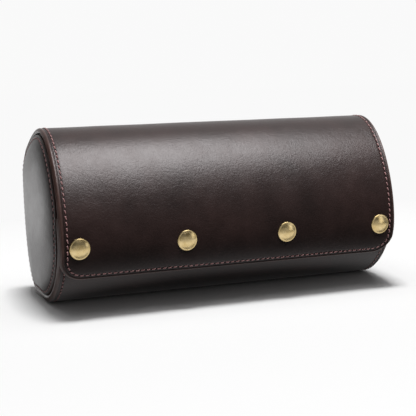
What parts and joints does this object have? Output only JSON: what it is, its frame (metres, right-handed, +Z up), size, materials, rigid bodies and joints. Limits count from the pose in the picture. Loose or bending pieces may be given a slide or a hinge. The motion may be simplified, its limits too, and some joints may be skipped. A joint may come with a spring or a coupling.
{
  "type": "watch roll",
  "caption": "Oval leather watch roll with a hinged flap, brass press studs, stitched end panels, suede-lined compartments and lift-out cushions.",
  "frame": {"origin": "middle of the base on the surface that the roll rests on, under the middle of the closed roll", "axes": "+X along the roll to the right, +Y to the back where the flap is hinged, +Z up; the press studs are on the -Y side"},
  "size_m": [0.22, 0.0925, 0.1047],
  "materials": {
    "leather": "smooth waxed leather, semi-gloss",
    "suede": "brushed suede",
    "board": "matt pressed board",
    "foam": "soft foam",
    "brass": "brushed antique brass",
    "spring_steel": "drawn wire",
    "thread": "waxed polyester thread"
  },
  "bodies": {
    "body": {"body_leather": "leather", "body_board": "board", "body_lining": "suede", "left_end_leather": "leather", "left_end_board": "board", "left_end_lining": "suede", "right_end_leather": "leather", "right_end_board": "board", "right_end_lining": "suede", "left_divider_board": "board", "left_divider_cover": "suede", "right_divider_board": "board", "right_divider_cover": "suede", "snap_studs": "brass", "snap_posts": "brass", "left_body_stitching": "thread", "right_body_stitching": "thread", "left_end_stitching": "thread", "right_end_stitching": "thread"},
    "flap": {"flap_leather": "leather", "flap_board": "board", "flap_lining": "suede", "snap_caps": "brass", "snap_sockets": "brass", "snap_springs": "spring_steel", "flap_stitching": "thread"},
    "left_cushion": {"left_cushion_sleeve": "suede", "left_cushion_core": "foam", "left_cushion_ends": "suede"},
    "centre_cushion": {"centre_cushion_sleeve": "suede", "centre_cushion_core": "foam", "centre_cushion_ends": "suede"},
    "right_cushion": {"right_cushion_sleeve": "suede", "right_cushion_core": "foam", "right_cushion_ends": "suede"}
  },
  "joints": [
    {"name": "flap_hinge", "type": "hinge", "parent": "body", "child": "flap", "pos_m": [0, 0.03579, 0.0896], "axis": [-1, 0, 0], "range_deg": [0, 150]},
    {"name": "left_cushion_lift", "type": "slide", "parent": "body", "child": "left_cushion", "axis": [0, -0.1191, 0.9929], "range_m": [0, 0.08905]},
    {"name": "centre_cushion_lift", "type": "slide", "parent": "body", "child": "centre_cushion", "axis": [0, -0.1191, 0.9929], "range_m": [0, 0.08905]},
    {"name": "right_cushion_lift", "type": "slide", "parent": "body", "child": "right_cushion", "axis": [0, -0.1191, 0.9929], "range_m": [0, 0.08905]}
  ],
  "couplings": [
    {"joint": "left_cushion_lift", "follows": "flap_hinge", "m_per_rad": 0.034},
    {"joint": "centre_cushion_lift", "follows": "flap_hinge", "m_per_rad": 0.034},
    {"joint": "right_cushion_lift", "follows": "flap_hinge", "m_per_rad": 0.034}
  ]
}
